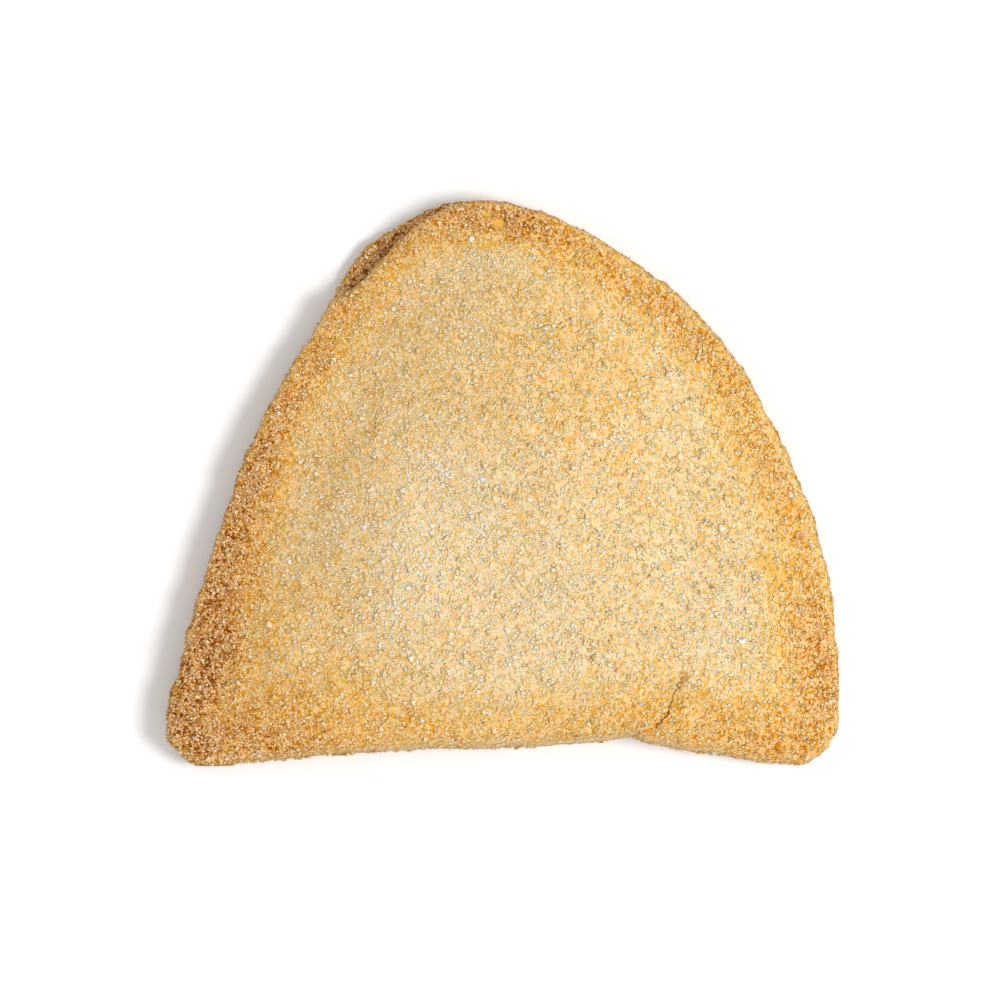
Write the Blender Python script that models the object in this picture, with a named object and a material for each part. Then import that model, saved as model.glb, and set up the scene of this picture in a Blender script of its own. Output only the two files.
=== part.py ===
"""A turnover pastry: a round of shortcrust folded over a filling and pressed shut, as one closed solid.

It lies flat, 105 mm from corner to corner. +X runs along the fold to the right corner, the curved and
pressed seam faces +Y, the fold faces -Y, and +Z is up. The origin is on the table, under the middle.
All sizes are in millimetres, and the finished mesh is scaled to metres.
"""

import math

import bmesh
import bpy
import numpy as np
from mathutils import Vector, noise

NAME = "turnover"
METRES = 0.001

# The outline from above, anticlockwise. The seam climbs from the right corner over the top to the left.
RIGHT_CORNER = {"centre": (45.4, -37.1), "radius": 7.0, "start": -92, "end": 4}
SEAM_POINTS = [
    (52.1, -26.0),
    (49.8, -10.5),
    (44.4, 4.0),
    (36.8, 18.4),
    (26.3, 30.1),
    (13.0, 38.9),
    (4.0, 42.8),
    (-3.5, 44.0),
    (-13.5, 41.6),
    (-21.8, 36.3),
    (-26.6, 28.4),
    (-37.2, 9.8),
    (-44.6, -9.0),
    (-49.9, -27.5),
]
LEFT_CORNER = {"centre": (-46.4, -38.2), "radius": 6.0, "start": 172, "end": 262}
FOLD_POINTS = [
    (-36.0, -43.1),
    (-22.0, -41.9),
    (4.0, -41.2),
    (15.5, -40.3),
    (20.3, -39.5),
    (22.0, -40.5),
    (32.0, -42.3),
]
CORNER_STEP = 18
CURVE_STEPS = 24

# The mesh: a square grid stretched over the top, and rings of edges down the side.
GRID = 36
CENTRE = (0.0, -9.0)
GRID_EASING = 6
NEAR_ZERO = 1e-6
JOIN_DISTANCE = 1e-4
CORNER_DENSITY = 7.0

# Two layers of dough meet along the seam, and one bent layer makes the fold.
SEAM_HEIGHT = 7.0
SEAM_ROUND = 2.8
GROOVE_LEVEL = 0.52
GROOVE_DEPTH = 1.3
FOLD_HEIGHT = 9.5
FOLD_ROUND = 5.2
FOLD_BULGE_LEVEL = 0.42
FOLD_EASING = 8
BASE_INSET = 3.6
UPPER_LAYER_TURN = (90, -40)
LOWER_LAYER_TURN = (48, -90)
FOLD_TURN = (90, -90)
GROOVE_WALL_SHARE = 0.6
LAYER_STEPS = 6

# The lower layer sticks out past the upper one, up on the left of the seam.
LEDGE_FROM = (-27.2, 27.2)
LEDGE_TO = (-5.0, 44.1)
LEDGE_WIDTH = 3.1
LEDGE_LEAN = 0.58
LEDGE_TAPER = 1.3

# The top: a pressed rim round the seam, a shallow valley inside it on the left, and a dome of blended lobes.
RIM_CREST = {"inset": 7.0, "width": 4.5, "rise": 1.2}
VALLEY = {"inset": 7.9, "width": 2.5, "depth": 0.3}
VALLEY_RIGHT_END = 26.0
VALLEY_FADE = 16.0
SEAM_FADE = 14.0
DOME_FOOT_LEFT = 3.0
DOME_FOOT_RIGHT = 3.0
DOME_RUN_LEFT = 14.8
DOME_RUN_RIGHT = 10.0
DOME_RIGHT_FROM = -12.0
DOME_RIGHT_RUN = 20.0
FOLD_RUN = 24.0
FOLD_LEVEL_REACH = 1.2
FOLD_STEEPNESS = 1.2
LOBES = [
    {"centre": (-16.1, -6.7), "spread": (10.5, 14.4), "height": 5.8},
    {"centre": (6.8, 6.6), "spread": (17.7, 22.0), "height": 8.4},
    {"centre": (-1.2, -34.0), "spread": (26.0, 6.5), "height": 9.4},
    {"centre": (-9.9, -19.7), "spread": (45.0, 14.9), "height": 5.1},
    {"centre": (-13.4, 26.2), "spread": (6.0, 6.0), "height": 3.6},
]
CREASE = {"path": [(1.5, -6.0), (5.8, 6.8), (9.5, 15.0)], "width": 3.2, "depth": 0.25}
DIMPLE = {"centre": (39.5, -11.5), "radius": 3.4, "depth": 0.6}

# The crust has split next to the fold: a lifted lip on its left, a jagged crack and a faint crease.
CRACK_PATH = [(20.6, -39.4), (23.8, -38.0), (25.0, -36.0), (25.8, -34.7), (27.4, -31.2), (28.7, -29.2)]
CRACK_WIDTH = 0.65
CRACK_DEPTH = 0.9
CRACK_REACH = 2.6
CRACK_CUTS = 3
CRACK_LOWEST = 7.4
CRACK_END_SHARE = 0.3
CRACK_NEAR_RUN = 1.2
CRACK_FAR_RUN = 1.5
LIP = {"centre": (20.8, -33.5), "radius": 6.5, "rise": 0.8}
LIP_FADE = 4.0

# Hand-made unevenness.
TOP_WAVE = {"size": 15.0, "height": 0.4}
TOP_RIPPLE = {"size": 5.5, "height": 0.16}
EDGE_WAVE = {"size": 7.0, "height": 0.28}
TOP_NOISE_LEVEL = 7.0

CRUST_COLOUR = (0.72, 0.44, 0.17, 1.0)
CRUST_ROUGHNESS = 0.75


def clear_scene():
    for found in list(bpy.data.objects):
        bpy.data.objects.remove(found)


def smooth_step(value):
    """Eases from 0 to 1 as value goes from 0 to 1."""
    held = min(max(value, 0.0), 1.0)
    return held * held * (3.0 - 2.0 * held)


def bump(distance, width):
    """A round hump of height 1 at distance 0 that has faded at about twice its width."""
    return math.exp(-((distance / width) ** 2))


def arc(corner):
    """Points along a rounded corner."""
    turn = corner["end"] - corner["start"]
    count = max(2, round(abs(turn) / CORNER_STEP))
    angles = [math.radians(corner["start"] + turn * step / count) for step in range(count + 1)]
    x, y = corner["centre"]
    radius = corner["radius"]
    return [(x + radius * math.cos(angle), y + radius * math.sin(angle)) for angle in angles]


def closed_curve(knots):
    """A smooth closed curve through the knots, as centripetal Catmull-Rom spans."""
    points = [np.array(knot, float) for knot in knots]
    curve = []
    for index in range(len(points)):
        span = [points[(index + offset) % len(points)] for offset in (-1, 0, 1, 2)]
        times = [0.0]
        for first, second in zip(span, span[1:], strict=False):
            times.append(times[-1] + math.sqrt(np.linalg.norm(second - first)))
        for step in range(CURVE_STEPS):
            time = times[1] + (times[2] - times[1]) * step / CURVE_STEPS
            curve.append(on_span(span, times, time))
    return np.array(curve)


def on_span(span, times, time):
    """The point at a time on one Catmull-Rom span, by repeated linear blends."""
    level = span
    for reach in (1, 2, 3):
        blended = []
        for index in range(len(level) - 1):
            # The last blend runs over the middle span alone.
            low = times[index] if reach < 3 else times[1]
            high = times[index + reach] if reach < 3 else times[2]
            share = (time - low) / (high - low)
            blended.append(level[index] * (1.0 - share) + level[index + 1] * share)
        level = blended
    return level[0]


def spaced(curve, count):
    """Points evenly along an open run of points, without the last, and closer together where it turns."""
    runs = np.diff(curve, axis=0)
    headings = np.unwrap(np.arctan2(runs[:, 1], runs[:, 0]))
    turns = np.abs(np.diff(headings, prepend=headings[0]))
    costs = np.linalg.norm(runs, axis=1) + CORNER_DENSITY * turns
    reached = np.concatenate([[0.0], np.cumsum(costs)])
    wanted = np.linspace(0.0, reached[-1], count, endpoint=False)
    return np.column_stack([np.interp(wanted, reached, curve[:, axis]) for axis in (0, 1)])


def outline():
    """The widest outline as 4 * GRID points: three sides of the grid along the seam, and one along the fold."""
    right = arc(RIGHT_CORNER)
    left = arc(LEFT_CORNER)
    curve = closed_curve(right + SEAM_POINTS + left + FOLD_POINTS)
    start = (len(right) // 2) * CURVE_STEPS
    end = (len(right) + len(SEAM_POINTS) + len(left) // 2) * CURVE_STEPS
    seam = curve[start : end + 1]
    fold = np.concatenate([curve[end:], curve[: start + 1]])
    points = np.concatenate([spaced(seam, 3 * GRID), spaced(fold, GRID)])
    outward = normals(points)
    for index, (x, y) in enumerate(points):
        wave = noise.noise(Vector((x, y, 0.0)) / EDGE_WAVE["size"])
        points[index] += outward[index] * wave * EDGE_WAVE["height"]
    return points


def normals(points):
    """Outward directions, eased over a few neighbours so that rings stay clear of each other."""
    tangents = np.roll(points, -2, axis=0) - np.roll(points, 2, axis=0)
    eased = sum(np.roll(tangents, offset, axis=0) for offset in (-1, 0, 1))
    eased /= np.linalg.norm(eased, axis=1, keepdims=True)
    return np.column_stack([eased[:, 1], -eased[:, 0]])


class Edge:
    """The outline with what changes along it: how much of it is fold, and how far the ledge sticks out."""

    def __init__(self):
        self.points = outline()
        self.outward = normals(self.points)
        self.fold_share = self.along_fold()
        self.ledge = self.along_ledge()

    def along_fold(self):
        """0 along the seam and 1 along the fold, easing over the corners."""
        shares = np.zeros(len(self.points))
        shares[3 * GRID :] = 1.0
        for _ in range(FOLD_EASING):
            shares = (np.roll(shares, 1) + shares + np.roll(shares, -1)) / 3.0
        return shares

    def along_ledge(self):
        """How far the lower layer sticks out at each point."""
        first = self.nearest(LEDGE_FROM)
        last = self.nearest(LEDGE_TO)
        start, end = min(first, last), max(first, last)
        widths = np.zeros(len(self.points))
        for index in range(start, end + 1):
            place = (index - start) / (end - start)
            widths[index] = LEDGE_WIDTH * math.sin(math.pi * (1.0 - place) ** LEDGE_LEAN) ** LEDGE_TAPER
        return widths

    def nearest(self, place):
        return int(np.argmin(np.linalg.norm(self.points - np.array(place), axis=1)))

    def moved(self, insets):
        """The outline moved inwards by an inset for each point."""
        return self.points - self.outward * np.array(insets)[:, None]


def turned(turn, share):
    """The angle in radians, a share of the way round from the first to the second of two angles in degrees."""
    start, end = turn
    return math.radians(start + (end - start) * share)


def edge_profile():
    """The side as (inset, height share) pairs from the top down, for the seam and for the fold.

    At the seam two rounded layers meet in a groove. At the fold one layer bends right round.
    """
    seam = []
    for step in range(LAYER_STEPS + 1):
        angle = turned(UPPER_LAYER_TURN, step / LAYER_STEPS)
        middle = (1.0 + GROOVE_LEVEL) / 2.0
        half = (1.0 - GROOVE_LEVEL) / 2.0
        inset = SEAM_ROUND * (1.0 - math.cos(angle)) if step < LAYER_STEPS else GROOVE_DEPTH * GROOVE_WALL_SHARE
        seam.append((inset, middle + half * math.sin(angle)))
    seam.append((GROOVE_DEPTH, GROOVE_LEVEL))
    for step in range(LAYER_STEPS + 1):
        angle = turned(LOWER_LAYER_TURN, step / LAYER_STEPS)
        middle = GROOVE_LEVEL / 2.0
        half = GROOVE_LEVEL / 2.0
        seam.append((BASE_INSET * (1.0 - math.cos(angle)), middle + half * math.sin(angle)))
    fold = []
    for step in range(len(seam)):
        angle = turned(FOLD_TURN, step / (len(seam) - 1))
        rise = 1.0 - FOLD_BULGE_LEVEL if angle > 0 else FOLD_BULGE_LEVEL
        reach = FOLD_ROUND if angle > 0 else BASE_INSET
        fold.append((reach * (1.0 - math.cos(angle)), FOLD_BULGE_LEVEL + rise * math.sin(angle)))
    return seam, fold


def to_path(x, y, path):
    """The nearest place on a run of straight stretches: how far off it is, and how far along."""
    best = (math.inf, 0.0)
    point = Vector((x, y))
    for index, (first, second) in enumerate(zip(path, path[1:], strict=False)):
        start, run = Vector(first), Vector(second) - Vector(first)
        share = min(max((point - start).dot(run) / run.length_squared, 0.0), 1.0)
        best = min(best, ((point - start - run * share).length, index + share))
    return best


class Top:
    """The height of the upper surface over any place inside the outline."""

    def __init__(self, edge):
        self.seam = edge.moved(edge.ledge)[: 3 * GRID]
        self.fold = edge.points[3 * GRID :]

    def height(self, x, y):
        to_seam = float(np.linalg.norm(self.seam - np.array((x, y)), axis=1).min())
        to_fold = float(np.linalg.norm(self.fold - np.array((x, y)), axis=1).min())
        fold_share = smooth_step(FOLD_LEVEL_REACH - to_fold / FOLD_RUN) * smooth_step(to_seam / FOLD_RUN)
        level = SEAM_HEIGHT + (FOLD_HEIGHT - SEAM_HEIGHT) * fold_share
        seam_near = smooth_step(to_fold / SEAM_FADE)
        level += self.rim(to_seam) * seam_near
        level += self.dome(x, y) * self.dome_share(x, to_seam, to_fold)
        level -= self.valley(x, y, to_seam) * seam_near
        level -= CREASE["depth"] * bump(to_path(x, y, CREASE["path"])[0], CREASE["width"])
        level -= DIMPLE["depth"] * bump(self.away(x, y, DIMPLE), DIMPLE["radius"])
        level += LIP["rise"] * bump(self.away(x, y, LIP), LIP["radius"]) * smooth_step(to_fold / LIP_FADE)
        return level + self.unevenness(x, y)

    @staticmethod
    def away(x, y, feature):
        return math.dist((x, y), feature["centre"])

    @staticmethod
    def rim(to_seam):
        return RIM_CREST["rise"] * bump(to_seam - RIM_CREST["inset"], RIM_CREST["width"])

    @staticmethod
    def valley(x, y, to_seam):
        """Deepest on the left and gone where the dome runs out to the rim on the right."""
        leftness = smooth_step((VALLEY_RIGHT_END - x) / VALLEY_FADE)
        return VALLEY["depth"] * leftness * bump(to_seam - VALLEY["inset"], VALLEY["width"])

    @staticmethod
    def dome_share(x, to_seam, to_fold):
        rightness = smooth_step((x - DOME_RIGHT_FROM) / DOME_RIGHT_RUN)
        foot = DOME_FOOT_LEFT + (DOME_FOOT_RIGHT - DOME_FOOT_LEFT) * rightness
        run = DOME_RUN_LEFT + (DOME_RUN_RIGHT - DOME_RUN_LEFT) * rightness
        from_seam = smooth_step((to_seam - foot) / run)
        across = min(to_fold / FOLD_RUN, 1.0)
        return from_seam * math.sin(across * math.pi / 2.0) ** FOLD_STEEPNESS

    @staticmethod
    def dome(x, y):
        """The lobes, blended smoothly so that the tallest leads and the others fill in beside it."""
        total = 0.0
        for lobe in LOBES:
            across = (x - lobe["centre"][0]) / lobe["spread"][0]
            along = (y - lobe["centre"][1]) / lobe["spread"][1]
            total += (lobe["height"] * math.exp(-0.5 * (across**2 + along**2))) ** 2
        return math.sqrt(total)

    @staticmethod
    def unevenness(x, y):
        place = Vector((x, y, TOP_NOISE_LEVEL))
        wave = TOP_WAVE["height"] * noise.noise(place / TOP_WAVE["size"])
        return wave + TOP_RIPPLE["height"] * noise.noise(place / TOP_RIPPLE["size"])


def ring_place(a, b):
    """How far out a grid vertex is, from 0 to 1, and where round the outline it points, from 0 to 4 * GRID."""
    reach = max(abs(a), abs(b))
    if reach < NEAR_ZERO:
        return 0.0, 0.0
    if a >= reach - NEAR_ZERO and b > -reach + NEAR_ZERO:
        side, share = 0, (b / reach + 1.0) / 2.0
    elif b >= reach - NEAR_ZERO:
        side, share = 1, (1.0 - a / reach) / 2.0
    elif a <= -reach + NEAR_ZERO:
        side, share = 2, (1.0 - b / reach) / 2.0
    else:
        side, share = 3, (a / reach + 1.0) / 2.0
    return reach, ((side + share) * GRID) % (4 * GRID)


def add_sheet(bm, place, rim):
    """A square grid stretched over the area inside a closed rim of 4 * GRID points.

    Its border vertices are numbered round the rim in the place layer, and every other vertex is -1.
    """
    made = bmesh.ops.create_grid(bm, x_segments=GRID, y_segments=GRID, size=1.0)["verts"]
    centre = np.array(CENTRE)
    closed = np.vstack([rim, rim[:1]])
    steps = np.arange(len(closed))
    inner = []
    for vert in made:
        reach, around = ring_place(vert.co.x, vert.co.y)
        if reach > 1.0 - NEAR_ZERO:
            vert[place] = round(around) % len(rim)
            x, y = rim[vert[place]]
        else:
            vert[place] = -1
            inner.append(vert)
            at = np.array([np.interp(around, steps, closed[:, axis]) for axis in (0, 1)])
            x, y = centre + (at - centre) * reach
        vert.co = (x, y, 0.0)
    for _ in range(GRID_EASING):
        bmesh.ops.smooth_vert(bm, verts=inner, factor=0.5, use_axis_x=True, use_axis_y=True)
    return made


def add_side(bm, place, edge, top_verts):
    """Extrudes the top's border down ring by ring, through the groove or round the fold, to the base."""
    seam, fold = edge_profile()
    border = sorted((vert for vert in top_verts if vert[place] >= 0), key=lambda vert: vert[place])
    heights = [vert.co.z for vert in border]
    loop = [found for found in bm.edges if found.is_boundary]
    for step in range(1, len(seam)):
        extruded = bmesh.ops.extrude_edge_only(bm, edges=loop)["geom"]
        loop = [part for part in extruded if isinstance(part, bmesh.types.BMEdge)]
        fresh = [part for part in extruded if isinstance(part, bmesh.types.BMVert)]
        under_groove = step > LAYER_STEPS + 1
        for vert in fresh:
            index = vert[place]
            share = edge.fold_share[index]
            inset = seam[step][0] * (1.0 - share) + fold[step][0] * share
            level = seam[step][1] * (1.0 - share) + fold[step][1] * share
            inset += 0.0 if under_groove else edge.ledge[index]
            x, y = edge.points[index] - edge.outward[index] * inset
            vert.co = (x, y, heights[index] * max(level, 0.0))
        loop = [found for found in loop if found.is_boundary]


def add_base(bm, place, edge):
    """Closes the underside with a flat sheet on the last ring."""
    sheet = add_sheet(bm, place, edge.moved([BASE_INSET] * len(edge.points)))
    faces = {face for vert in sheet for face in vert.link_faces}
    bmesh.ops.reverse_faces(bm, faces=list(faces))
    bmesh.ops.remove_doubles(bm, verts=bm.verts, dist=JOIN_DISTANCE)


def cut_crack(bm):
    """Refines the top along the crack and presses a narrow groove into it."""
    near = []
    for found in bm.edges:
        middle = (found.verts[0].co + found.verts[1].co) / 2.0
        on_top = all(vert.co.z > CRACK_LOWEST for vert in found.verts)
        if on_top and to_path(middle.x, middle.y, CRACK_PATH)[0] < CRACK_REACH:
            near.append(found)
    bmesh.ops.subdivide_edges(bm, edges=near, cuts=CRACK_CUTS, use_grid_fill=True)
    last = len(CRACK_PATH) - 1
    for vert in bm.verts:
        if vert.co.z < CRACK_LOWEST:
            continue
        away, along = to_path(vert.co.x, vert.co.y, CRACK_PATH)
        near_end = smooth_step(along / CRACK_NEAR_RUN + CRACK_END_SHARE)
        far_end = smooth_step((last - along) / CRACK_FAR_RUN + CRACK_END_SHARE)
        vert.co.z -= CRACK_DEPTH * near_end * far_end * bump(away, CRACK_WIDTH)


def to_frame(bm):
    """Centres the solid over the origin with its base at height 0, and scales it to metres."""
    places = np.array([vert.co for vert in bm.verts])
    low, high = places.min(axis=0), places.max(axis=0)
    middle = Vector(((low[0] + high[0]) / 2.0, (low[1] + high[1]) / 2.0, low[2]))
    bmesh.ops.translate(bm, verts=bm.verts, vec=-middle)
    bmesh.ops.scale(bm, verts=bm.verts, vec=(METRES, METRES, METRES))


def crust_material():
    material = bpy.data.materials.new("crust")
    material.use_nodes = True
    shader = material.node_tree.nodes["Principled BSDF"]
    shader.inputs["Base Color"].default_value = CRUST_COLOUR
    shader.inputs["Roughness"].default_value = CRUST_ROUGHNESS
    shader.inputs["Metallic"].default_value = 0.0
    return material


def make_turnover():
    """The whole pastry as one closed solid."""
    edge = Edge()
    top = Top(edge)
    seam, fold = edge_profile()
    insets = seam[0][0] * (1.0 - edge.fold_share) + fold[0][0] * edge.fold_share
    bm = bmesh.new()
    place = bm.verts.layers.int.new("place")
    top_verts = add_sheet(bm, place, edge.moved(insets + edge.ledge))
    for vert in top_verts:
        vert.co.z = top.height(vert.co.x, vert.co.y)
    add_side(bm, place, edge, top_verts)
    add_base(bm, place, edge)
    cut_crack(bm)
    to_frame(bm)
    mesh = bpy.data.meshes.new(NAME)
    bm.to_mesh(mesh)
    bm.free()
    mesh.shade_smooth()
    mesh.materials.append(crust_material())
    pastry = bpy.data.objects.new(NAME, mesh)
    bpy.context.scene.collection.objects.link(pastry)


clear_scene()
make_turnover()
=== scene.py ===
"""Looks of a sugared turnover pastry: its baked crust and the sugar grains that cover it."""

import logging
import math
from collections.abc import Sequence
from dataclasses import dataclass, field
from enum import Enum

import bmesh
import bpy
import numpy as np
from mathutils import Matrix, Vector, noise
from mathutils.bvhtree import BVHTree
from mathutils.kdtree import KDTree


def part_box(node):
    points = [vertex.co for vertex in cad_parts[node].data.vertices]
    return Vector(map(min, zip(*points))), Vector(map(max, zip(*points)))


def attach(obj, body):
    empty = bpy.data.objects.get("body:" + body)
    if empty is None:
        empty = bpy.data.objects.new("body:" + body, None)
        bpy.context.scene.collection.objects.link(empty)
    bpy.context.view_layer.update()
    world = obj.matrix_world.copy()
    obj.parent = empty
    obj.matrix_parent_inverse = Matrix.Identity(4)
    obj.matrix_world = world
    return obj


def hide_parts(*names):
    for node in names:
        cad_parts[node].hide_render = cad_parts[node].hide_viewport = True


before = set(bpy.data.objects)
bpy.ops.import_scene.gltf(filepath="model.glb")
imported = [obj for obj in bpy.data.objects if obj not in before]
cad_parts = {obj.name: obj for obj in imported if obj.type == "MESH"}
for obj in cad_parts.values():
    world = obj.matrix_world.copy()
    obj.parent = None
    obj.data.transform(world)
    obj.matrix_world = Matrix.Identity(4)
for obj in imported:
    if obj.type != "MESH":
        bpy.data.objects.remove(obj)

LOG = logging.getLogger("turnover")
MM = 0.001
NEAR_ZERO = 1e-6
JOIN_DISTANCE = 0.001
MOST_CORNERS = 4
FARTHEST = 10.0
PATTERN_STEP = np.array((17.3, 5.9, 11.1))
MEAN_CHANCE = (0.5, 0.5, 0.5)
WHITE = (1.0, 1.0, 1.0, 1.0)
NODE = "turnover"
BODY = "root"
Colour = tuple[float, float, float]
Array = np.ndarray
Socket = bpy.types.NodeSocket


# Shader helpers


@dataclass(frozen=True)
class Shade:
    """An output socket's number, which adds Math nodes when it is used in an expression."""

    bench: "Bench"
    socket: Socket

    def math(self, operation: str, *values: "Shade | float", clamp: bool = False) -> "Shade":
        """Adds one Math node.

        Args:
            operation: the Math node's operation.
            values: what its sockets take, in order.
            clamp: whether the result stays between 0 and 1.

        Returns:
            The node's result.
        """
        settings = {"operation": operation, "use_clamp": clamp}
        made = self.bench.node("ShaderNodeMath", settings, dict(enumerate(values)))
        return Shade(self.bench, made[0])

    def __add__(self, other: "Shade | float") -> "Shade":
        """This value plus another."""
        return self.math("ADD", self, other)

    def __radd__(self, other: float) -> "Shade":
        """A number plus this value."""
        return self.math("ADD", other, self)

    def __sub__(self, other: "Shade | float") -> "Shade":
        """This value minus another."""
        return self.math("SUBTRACT", self, other)

    def __rsub__(self, other: float) -> "Shade":
        """A number minus this value."""
        return self.math("SUBTRACT", other, self)

    def __mul__(self, other: "Shade | float") -> "Shade":
        """This value times another."""
        return self.math("MULTIPLY", self, other)

    def __rmul__(self, other: float) -> "Shade":
        """A number times this value."""
        return self.math("MULTIPLY", other, self)

    def clamped(self) -> "Shade":
        """This value held between 0 and 1."""
        return self.math("ADD", self, 0.0, clamp=True)


class Bench:
    """A material's node tree, with one method that adds any node to it."""

    def __init__(self, name: str) -> None:
        """Makes an empty material.

        Args:
            name: the material's name.
        """
        self.material = bpy.data.materials.new(name)
        self.material.use_nodes = True
        self.tree = self.material.node_tree
        self.tree.nodes.clear()
        self.place = self.node("ShaderNodeTexCoord")["Object"]

    def node(
        self, kind: str, settings: dict | None = None, inputs: dict | None = None
    ) -> bpy.types.NodeOutputs:
        """Adds a node, sets it up and fills its sockets.

        Args:
            kind: the node's type.
            settings: its settings, which are set before its sockets. "stops" are a ramp's places and colours.
            inputs: a value, a Shade or an output socket for each input, by name or number.

        Returns:
            The node's output sockets.
        """
        made = self.tree.nodes.new(kind)
        for name, value in (settings or {}).items():
            if name == "stops":
                self.set_stops(made.color_ramp, value)
            else:
                setattr(made, name, value)
        for name, value in (inputs or {}).items():
            socket = made.inputs[name]
            if isinstance(value, Shade):
                self.tree.links.new(value.socket, socket)
            elif isinstance(value, Socket):
                self.tree.links.new(value, socket)
            else:
                socket.default_value = value
        return made.outputs

    @staticmethod
    def set_stops(ramp: bpy.types.ColorRamp, stops: Sequence[tuple[float, Colour]]) -> None:
        """Gives a colour ramp its stops.

        Args:
            ramp: the ramp, with Blender's two stops.
            stops: places from 0 to 1, each with its colour.
        """
        while len(ramp.elements) < len(stops):
            ramp.elements.new(0.5)
        for element, (place, colour) in zip(ramp.elements, stops):
            element.position = place
            element.color = (*colour, 1.0)

    def attribute(self, name: str) -> Shade:
        """A number that the mesh holds at each point."""
        return Shade(self, self.node("ShaderNodeAttribute", {"attribute_name": name})["Fac"])

    def noise(self, period: float, detail: float = 2.0, rough: float = 0.5) -> Shade:
        """Smooth noise round 0.5, with features of a size in millimetres and finer octaves added to them."""
        values = {"Vector": self.place, "Scale": 1 / (period * MM), "Detail": detail, "Roughness": rough}
        return Shade(self, self.node("ShaderNodeTexNoise", {}, values)["Fac"])

    def cells(self, period: float) -> tuple[Socket, Shade]:
        """Cells like packed crystals.

        Args:
            period: the size of a cell, in millimetres.

        Returns:
            A colour of chance for each cell, and how far each place is from its cell's wall.
        """
        values = {"Vector": self.place, "Scale": 1 / (period * MM)}
        chance = self.node("ShaderNodeTexVoronoi", {}, values)["Color"]
        wall = self.node("ShaderNodeTexVoronoi", {"feature": "DISTANCE_TO_EDGE"}, values)["Distance"]
        return chance, Shade(self, wall)

    def facets(self, chance: Socket, tilt: Shade) -> Socket:
        """A normal that leans another way in each cell.

        Args:
            chance: the cells' colour of chance.
            tilt: how far they lean.

        Returns:
            The leaning normal.
        """
        vector = "ShaderNodeVectorMath"
        lean = self.node(vector, {"operation": "SUBTRACT"}, {0: chance, 1: MEAN_CHANCE})[0]
        lean = self.node(vector, {"operation": "SCALE"}, {0: lean, "Scale": tilt})[0]
        facing = self.node("ShaderNodeNewGeometry")["Normal"]
        facing = self.node(vector, {"operation": "ADD"}, {0: facing, 1: lean})[0]
        return self.node(vector, {"operation": "NORMALIZE"}, {0: facing})[0]

    def ramp(self, value: Shade, stops: Sequence[tuple[float, Colour]]) -> Socket:
        """The colour that a ramp gives for a value."""
        return self.node("ShaderNodeValToRGB", {"stops": stops}, {"Fac": value})["Color"]

    def blend(
        self,
        share: Shade | float,
        first: Socket | Colour,
        second: Socket | Colour,
        kind: str = "MIX",
    ) -> Socket:
        """Mixes two colours.

        Args:
            share: how much of the second colour shows.
            first: the colour underneath.
            second: the colour on top.
            kind: how they mix, such as MIX or MULTIPLY.

        Returns:
            The mixed colour.
        """
        colours = [(*c, 1.0) if isinstance(c, tuple) else c for c in (first, second)]
        settings = {"data_type": "RGBA", "blend_type": kind, "clamp_factor": True}
        return self.node("ShaderNodeMix", settings, {"Factor": share, 6: colours[0], 7: colours[1]})[2]

    def bump(self, height: Shade, strength: float, depth: float, facing: Socket) -> Socket:
        """A normal bent by a height, of which 1 stands for a depth in millimetres."""
        values = {"Height": height, "Strength": strength, "Distance": depth * MM, "Normal": facing}
        return self.node("ShaderNodeBump", {}, values)["Normal"]

    def finish(self, values: dict) -> bpy.types.Material:
        """Adds the Principled shader and the output.

        Args:
            values: the shader's sockets.

        Returns:
            The finished material.
        """
        shader = self.node("ShaderNodeBsdfPrincipled", {}, values)["BSDF"]
        self.node("ShaderNodeOutputMaterial", {}, {"Surface": shader})
        return self.material


# Finishes


@dataclass(frozen=True)
class Mottle:
    """An uneven pattern round 0: its features' size in millimetres, its strength and its finer octaves."""

    size: float
    strength: float
    detail: float = 2.0
    rough: float = 0.5

    def on(self, bench: Bench) -> Shade:
        """The pattern's value in a material."""
        return (bench.noise(self.size, self.detail, self.rough) - 0.5) * self.strength


@dataclass(frozen=True)
class Tones:
    """What a thing's colour is where the oven left it pale, turned it golden or amber, and browned it."""

    pale: Colour
    golden: Colour
    amber: Colour
    brown: Colour
    levels: tuple[float, float, float, float] = (0.0, 0.43, 0.68, 0.96)
    # Painted shade, partly browner sides: steep places are multiplied by this colour.
    steep_painted_shade: Colour = (0.60, 0.60, 0.72)
    steep_shade_share: float = 0.8

    def colour(self, bench: Bench, baked: Shade) -> Socket:
        """The colour for how brown a place is, dimmed on the steep sides: partly browner baked sides, partly
        painted shade.
        """
        tones = (self.pale, self.golden, self.amber, self.brown)
        lit = bench.ramp(baked, list(zip(self.levels, tones)))
        return bench.blend(bench.attribute("steep") * self.steep_shade_share, lit, self.steep_painted_shade, "MULTIPLY")


DOUGH = Tones((0.83, 0.53, 0.19), (0.79, 0.39, 0.035), (0.57, 0.20, 0.005), (0.20, 0.045, 0.0005))
BUTTER = (0.78, 0.47, 0.085)
BAKED_SURFACE = {
    "Specular IOR Level": 0.05,
    "Subsurface Weight": 0.6,
    "Subsurface Radius": (1.0, 0.5, 0.18),
    "Subsurface Scale": 0.4 * MM,
}


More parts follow.
